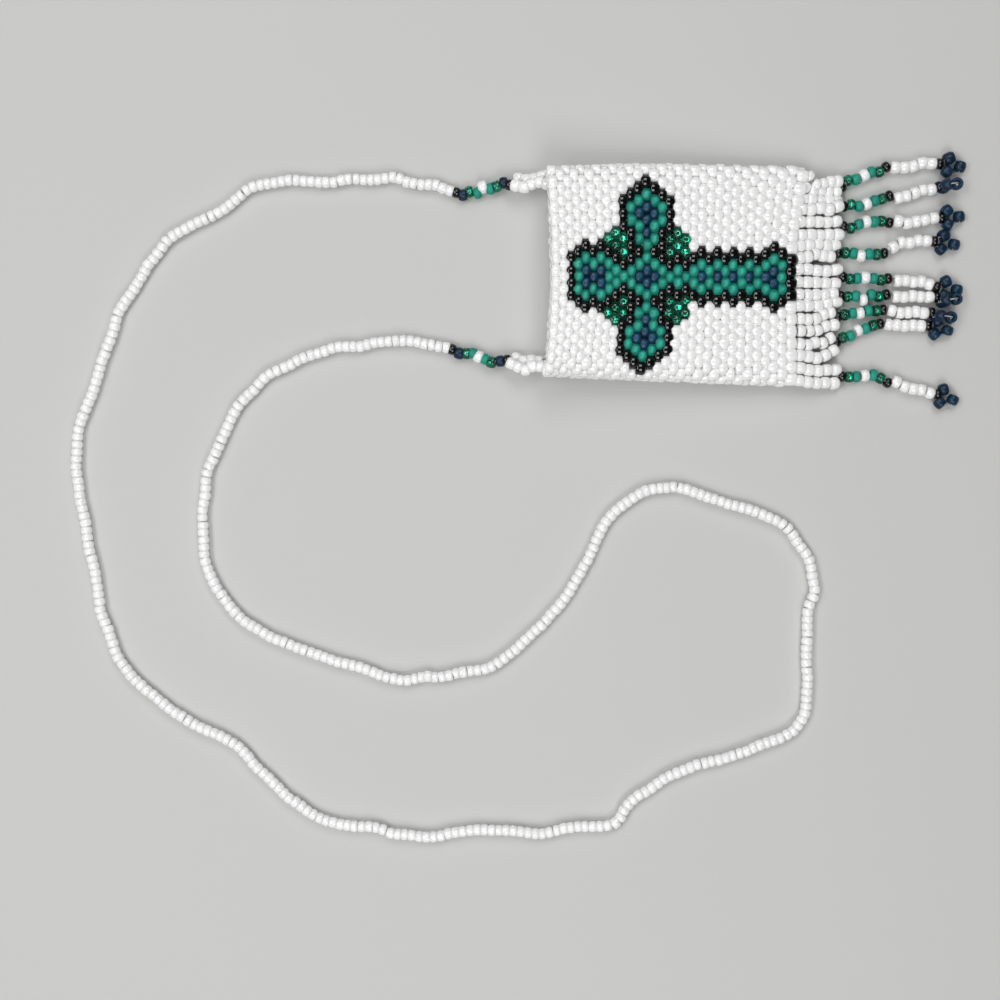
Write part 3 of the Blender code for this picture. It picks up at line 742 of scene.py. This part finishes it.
def weave_place(column, row, inset=BEAD_D / 2):
    """A point of the weave, inset by a depth from the tube's outside.

    row counts half rows round the tube from the middle of the cross, towards +Y where it is above 0.
    """
    x = column_x(column)
    width = along_pouch(x, MOUTH_WIDTH, END_WIDTH) - 2 * inset
    height = along_pouch(x, MOUTH_HEIGHT, END_HEIGHT) - 2 * inset
    corner = along_pouch(x, MOUTH_CORNER, END_CORNER) - inset
    quarter = corner * math.pi / 2
    wall = height - 2 * corner
    half_round = width + height - 4 * corner + 2 * quarter
    spare = half_round - HALF_ROWS_ROUND * HALF_ROW
    travel = abs(row) * HALF_ROW + spare * smooth_step(*STRETCH_ROWS, abs(row))
    side = 1 if row > 0 else -1
    row_zero_y = along_pouch(x, CROSS_MOUTH_Y, CROSS_END_Y)
    corner_y = along_pouch(x, MOUTH_Y, END_Y) + side * (width / 2 - corner)
    top = inset + height
    past_front = travel - abs(corner_y - row_zero_y)
    past_wall = past_front - quarter - wall
    if past_front <= 0:
        y, z = row_zero_y + side * travel, top
    elif past_front <= quarter:
        angle = past_front / corner
        y, z = corner_y + side * corner * math.sin(angle), top - corner * (1 - math.cos(angle))
    elif past_wall <= 0:
        y, z = corner_y + side * corner, top - corner - past_front + quarter
    elif past_wall <= quarter:
        angle = past_wall / corner
        y, z = corner_y + side * corner * math.cos(angle), inset + corner * (1 - math.sin(angle))
    else:
        y, z = corner_y - side * (past_wall - quarter), inset
    return Vector((x + fan(column, row), y + side * swell(column, row), z + TABLE_GAP))


def weave_owners():
    """Looks down on the CAD pieces of the cross, so that a bead can be given to the piece at its place."""
    graph = bpy.context.evaluated_depsgraph_get()
    return {
        name: BVHTree.FromObject(piece, graph)
        for name, piece in frame["nodes"].items()
        if name.startswith("cross_")
    }


def owner(column, row, trees):
    """The CAD node that a woven bead belongs to."""
    if abs(row) > SIDE_ROW:
        return "back_panel"
    x = column_x(column)
    y = along_pouch(x, CROSS_MOUTH_Y, CROSS_END_Y) + row * HALF_ROW
    above = Vector((x, y, 2 * MOUTH_HEIGHT))
    for name, tree in trees.items():
        if tree.ray_cast(above, Vector((0, 0, -1)))[0]:
            return name
    return "front_panel"


def weft():
    """The thread between the front's columns, which shows as a pale dot where the beads' corners meet."""
    rows = range(-SIDE_ROW, SIDE_ROW + 1)
    columns = range(FIRST_COLUMN, LAST_COLUMN)
    return [[weave_place(column + 0.5, row, WEFT_DEPTH) for row in rows] for column in columns]


def kind_of(node):
    if "panel" in node:
        return "white"
    if "outline" in node:
        return "black"
    if "leaf" in node:
        return "emerald"
    return "green" if "field" in node else "navy"


def make_weave(materials):
    """The woven tube, each bead with the CAD node that it belongs to."""
    trees = weave_owners()
    woven = {}
    for column in range(FIRST_COLUMN, LAST_COLUMN + 1):
        for row in range(1 - HALF_ROWS_ROUND, HALF_ROWS_ROUND + 1):
            if (row + column) % 2 == 0:
                continue
            node = owner(column, row, trees)
            place = weave_place(column, row)
            along = weave_place(column + 0.5, row) - weave_place(column - 0.5, row)
            length = along.length * BODY_LENGTH_FILL
            outward = (weave_place(column, row, 0) - place).normalized()
            if column == LAST_COLUMN:
                # The shut end's beads reach out to the legs that hang from them
                length += END_REACH
                place.x += END_REACH / 2
            one = bead(place, along, length, BEAD_D * BODY_FILL, kind_of(node), outward)
            woven.setdefault(node, []).append(one)
    for node, beads in woven.items():
        threads = weft() if node == "front_panel" else ()
        bead_piece(node, beads, materials, threads, WEFT_D)


# The fringe

def strung(places, lengths, diameters, kinds):
    """Beads on one thread, each laid along the line between its neighbours."""
    beads = []
    for i, place in enumerate(places):
        along = places[min(i + 1, len(places) - 1)] - places[max(i - 1, 0)]
        beads.append(bead(place, along, lengths[i], diameters[i], kinds[i]))
    return beads


def make_legs(number, materials):
    """A strand's hairpin: two rows of white beads that hang from the closed end down to the table."""
    rows = []
    beads = []
    for down_px, span, lift in zip(LEG_ROWS_PX[number], LEG_SPANS_PX[number], LEG_LIFTS[number]):
        count = len(down_px)
        places = []
        for i, down in enumerate(down_px):
            share = (i + 0.5) / count
            z = mix(ROOT_Z, LEG_D / 2 + TABLE_GAP + lift, smooth_step(*LEG_DROP_SHARES, share))
            places.append(from_photo((mix(*span, i / (count - 1)), down), z))
        step = (places[-1].x - places[0].x) / (count - 1)
        # The first bead reaches back to the weave
        places[0].x -= ROOT_REACH / 2
        lengths = [step * STRUNG_FILL + ROOT_REACH] + [step * STRUNG_FILL] * (count - 1)
        beads += strung(places, lengths, [LEG_D] * count, ["white"] * count)
        rows.append(places)
    upper, lower = rows
    turn = Vector((LEG_D * LEG_TURN_SHARE, 0, 0))
    loop = [*upper, upper[-1] + turn, lower[-1] + turn, *reversed(lower)]
    bead_piece(f"strand_{number}_legs", beads, materials, [loop])


BAND = ("black", "emerald", "green", "white", "green", "emerald", "black")
BEAD_SIZES = {
    "black": (BLACK_LENGTH, BLACK_D),
    "emerald": (EMERALD_LENGTH, EMERALD_D),
    "green": (GREEN_LENGTH, GREEN_D),
    "white": (WHITE_LENGTH, WHITE_D),
    "navy": (NAVY_LENGTH, NAVY_D),
}


def make_band(number, materials):
    """A strand's seven coloured beads, on the table from the legs' end to the knee."""
    low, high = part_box(f"strand_{number}_band")
    total = sum(BEAD_SIZES[kind][0] for kind in BAND)
    fit = (high.x - low.x) / total
    places = []
    x = low.x
    for kind, down in zip(BAND, BAND_ROWS_PX[number]):
        length = BEAD_SIZES[kind][0] * fit
        places.append(Vector((x + length / 2, row_y(down, STRAND_Z), STRAND_Z)))
        x += length
    lengths = [BEAD_SIZES[kind][0] for kind in BAND]
    diameters = [BEAD_SIZES[kind][1] for kind in BAND]
    beads = strung(places, lengths, diameters, BAND)
    start = places[0] - Vector((LEG_D / 2, 0, 0))
    end = Vector((high.x, places[-1].y, STRAND_Z))
    bead_piece(f"strand_{number}_band", beads, materials, [[start, *places, end]])


def make_drop(number, materials):
    """Five white beads and a black one between the knee and the tip. Returns where the tip begins."""
    low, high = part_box(f"strand_{number}_drop")
    kinds = ["white"] * DROP_WHITES + ["black"]
    step = (high.x - low.x - BLACK_LENGTH) / DROP_WHITES
    places = []
    for i, down in enumerate(DROP_ROWS_PX[number]):
        x = low.x + (i + 0.5) * step if i < DROP_WHITES else high.x - BLACK_LENGTH / 2
        places.append(Vector((x, row_y(down, STRAND_Z), STRAND_Z)))
    lengths = [step * STRUNG_FILL] * DROP_WHITES + [BLACK_LENGTH]
    diameters = [WHITE_D] * DROP_WHITES + [BLACK_D]
    beads = strung(places, lengths, diameters, kinds)
    end = places[-1] + Vector((BLACK_LENGTH * DROP_END_SHARE, 0, 0))
    bead_piece(f"strand_{number}_drop", beads, materials, [[*places, end]])
    return end


def on_edge(flat, turn):
    """A direction in a ring that lies flat, once the ring stands on its edge and is turned about Z."""
    return Vector((flat.x * math.cos(turn), flat.x * math.sin(turn), flat.y))


def make_tip(number, start, materials):
    """Three navy beads on a small ring of thread, flat on the table or raised on edge."""
    low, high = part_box(f"strand_{number}_tip")
    raised = number in RAISED_TIPS
    z = (low.z + high.z) / 2 if raised else TIP_D / 2 + TABLE_GAP
    centre = from_photo(TIPS_PX[number], z)
    turn = math.radians(TIP_TURNS[number])
    beads = []
    ring = []
    for i in range(TIP_BEADS):
        angle = i * 2 * math.pi / TIP_BEADS + (0 if raised else turn)
        outward = Vector((math.cos(angle), math.sin(angle), 0))
        forward = Vector((-math.sin(angle), math.cos(angle), 0))
        if raised:
            outward, forward = on_edge(outward, turn), on_edge(forward, turn)
        middle = centre + outward * TIP_RING_RADIUS
        beads.append(bead(middle, forward, TIP_LENGTH, TIP_D, "navy"))
        reach = forward * TIP_LENGTH * TIP_REACH_SHARE
        ring += [middle - reach, middle + reach]
    # The ring opens between its second and third beads, where the drop's thread comes in
    around = [start, *ring[4:], *ring[:4], start]
    bead_piece(f"strand_{number}_tip", beads, materials, [around])


def make_fringe(materials):
    for number in range(1, STRANDS + 1):
        make_legs(number, materials)
        make_band(number, materials)
        drop_end = make_drop(number, materials)
        make_tip(number, drop_end, materials)


# The strap

def make_tab(name, materials):
    """A strip two beads wide, sewn to the mouth's corner. One of its rows lies on the other."""
    rows = []
    beads = []
    for row, spots in enumerate(TABS_PX[name]):
        count = len(spots)
        places = []
        for i, spot in enumerate(spots):
            z = STRAP_Z + TAB_ROW_DROP * (2 - row - (i + 0.5) / count)
            places.append(from_photo(spot, z))
        beads += strung(places, [TAB_LENGTH] * count, [TAB_D] * count, ["white"] * count)
        rows.append(places)
    turn = Vector((-TAB_LENGTH * TAB_TURN_SHARE, 0, 0))
    loop = [*rows[0], rows[0][-1] + turn, rows[1][-1] + turn, *reversed(rows[1])]
    bead_piece(f"strap_tab_{name}", beads, materials, [loop])


CONNECTOR = ("black", "navy", "emerald", "green", "white", "green", "emerald", "navy", "black")


def make_connector(name, materials):
    """Nine coloured beads that come down from the tab to the strap."""
    spots = CONNECTORS_PX[name]
    places = []
    for i, spot in enumerate(spots):
        share = 1 - i / (len(spots) - 1)
        z = mix(STRAP_Z, CONNECTOR_HEIGHT - STRAP_D / 2, share**2)
        places.append(from_photo(spot, z))
    lengths = [BEAD_SIZES[kind][0] * STRUNG_FILL for kind in CONNECTOR]
    diameters = [BEAD_SIZES[kind][1] for kind in CONNECTOR]
    beads = strung(places, lengths, diameters, CONNECTOR)
    return bead_piece(f"connector_{name}", beads, materials, [places])


def stray(gone):
    """How far to the left of its smooth route the strap lies, at a distance along it."""
    for (start, before), (end, after) in zip(STRAP_STRAYS, STRAP_STRAYS[1:]):
        if gone <= end * MM:
            return mix(before, after, smooth_step(start * MM, end * MM, gone)) * MM
    return 0.0


def make_strap(materials):
    """The long string of white beads, loose on the table from one connector round to the other."""
    route = smooth_route([Vector((x, y, STRAP_Z)) for x, y in STRAP_ROUTE])
    count = round(STRAP_LENGTH / STRAP_PITCH)
    path, length = evenly(route, count)
    rng = random.Random("strap")
    waves = []
    for _ in range(WAVE_COUNT):
        wave = rng.uniform(*WAVE_LENGTHS_MM) * MM
        waves.append((wave, rng.uniform(0, 2 * math.pi)))
    places = []
    for i, place in enumerate(path):
        forward = (path[min(i + 1, count - 1)] - path[max(i - 1, 0)]).normalized()
        leftward = Vector((-forward.y, forward.x, 0))
        gone = i * length / (count - 1)
        ease = min(gone, length - gone, END_EASE) / END_EASE
        off = sum(math.sin(2 * math.pi * gone / wave + phase) for wave, phase in waves) / len(waves)
        pull = START_PULL * max(1 - gone / PULLED_LENGTH, 0)
        aside = stray(gone) + off * 2 * WANDER * ease
        places.append(place - forward * pull + leftward * aside)
    beads = strung(places, [STRAP_BEAD_LENGTH] * count, [STRAP_D] * count, ["white"] * count)
    strap = bead_piece("strap", beads, materials, [places])
    pieces = [make_connector(name, materials) for name in ("upper", "lower")]


# The table, the light and the camera

def make_table():
    """A plain square of floor under the object."""
    mesh = bpy.data.meshes.new("table")
    half = FLOOR_SIZE / 2
    corners = [(-half, -half, 0), (half, -half, 0), (half, half, 0), (-half, half, 0)]
    mesh.from_pydata(corners, [], [(0, 1, 2, 3)])
    table = bpy.data.objects.new("table", mesh)
    bpy.context.scene.collection.objects.link(table)
    made, nodes, _ = new_material("pale_table")
    shader = nodes["Principled BSDF"]
    shader.inputs["Base Color"].default_value = (*FLOOR_COLOUR, 1)
    shader.inputs["Roughness"].default_value = FLOOR_ROUGHNESS
    mesh.materials.append(made)


def make_lamp(name, offset, size, power):
    """A flat rectangular lamp over the object, facing it, offset along X and Y from the camera."""
    data = bpy.data.lights.new(name, "AREA")
    data.shape = "RECTANGLE"
    data.size, data.size_y = size
    data.energy = power
    lamp = bpy.data.objects.new(name, data)
    lamp.location = (CAMERA.x + offset[0], CAMERA.y + offset[1], LAMP_HEIGHT)
    away = lamp.location - Vector((CAMERA.x, CAMERA.y, 0))
    lamp.rotation_euler = Vector((0, 0, 1)).rotation_difference(away).to_euler()
    bpy.context.scene.collection.objects.link(lamp)


def make_light():
    """The room's own light and the lamps."""
    world = bpy.data.worlds.new("soft_room")
    world.use_nodes = True
    nodes, links = world.node_tree.nodes, world.node_tree.links
    sky = nodes["Background"]
    sky.inputs["Color"].default_value = (1, 1, 1, 1)
    direction = nodes.new("ShaderNodeTexCoord")
    parts = nodes.new("ShaderNodeSeparateXYZ")
    links.new(direction.outputs["Generated"], parts.inputs["Vector"])
    level = nodes.new("ShaderNodeMapRange")
    level.interpolation_type = "SMOOTHSTEP"
    level.inputs["From Min"].default_value, level.inputs["From Max"].default_value = HORIZON_HEIGHTS
    level.inputs["To Min"].default_value = ROOM_HORIZON
    level.inputs["To Max"].default_value = ROOM_ABOVE
    links.new(parts.outputs["Z"], level.inputs["Value"])
    links.new(level.outputs["Result"], sky.inputs["Strength"])
    bpy.context.scene.world = world
    for name, lamp in LAMPS.items():
        make_lamp(name, **lamp)


def make_camera():
    """The camera looks straight down, as the photograph does."""
    data = bpy.data.cameras.new("overhead_camera")
    data.sensor_width = SENSOR_WIDTH
    data.lens = SENSOR_WIDTH * FOCAL_PX / FRAME_PX
    data.clip_start = CLIP_START
    camera = bpy.data.objects.new("overhead_camera", data)
    camera.location = CAMERA
    bpy.context.scene.collection.objects.link(camera)
    bpy.context.scene.camera = camera
    bpy.context.scene.view_settings.view_transform = "Standard"


def main():
    make_camera()
    materials = make_materials()
    make_strap(materials)
    for name in TABS_PX:
        make_tab(name, materials)
    make_weave(materials)
    make_fringe(materials)
    make_table()
    make_light()


main()
bpy.context.view_layer.update()
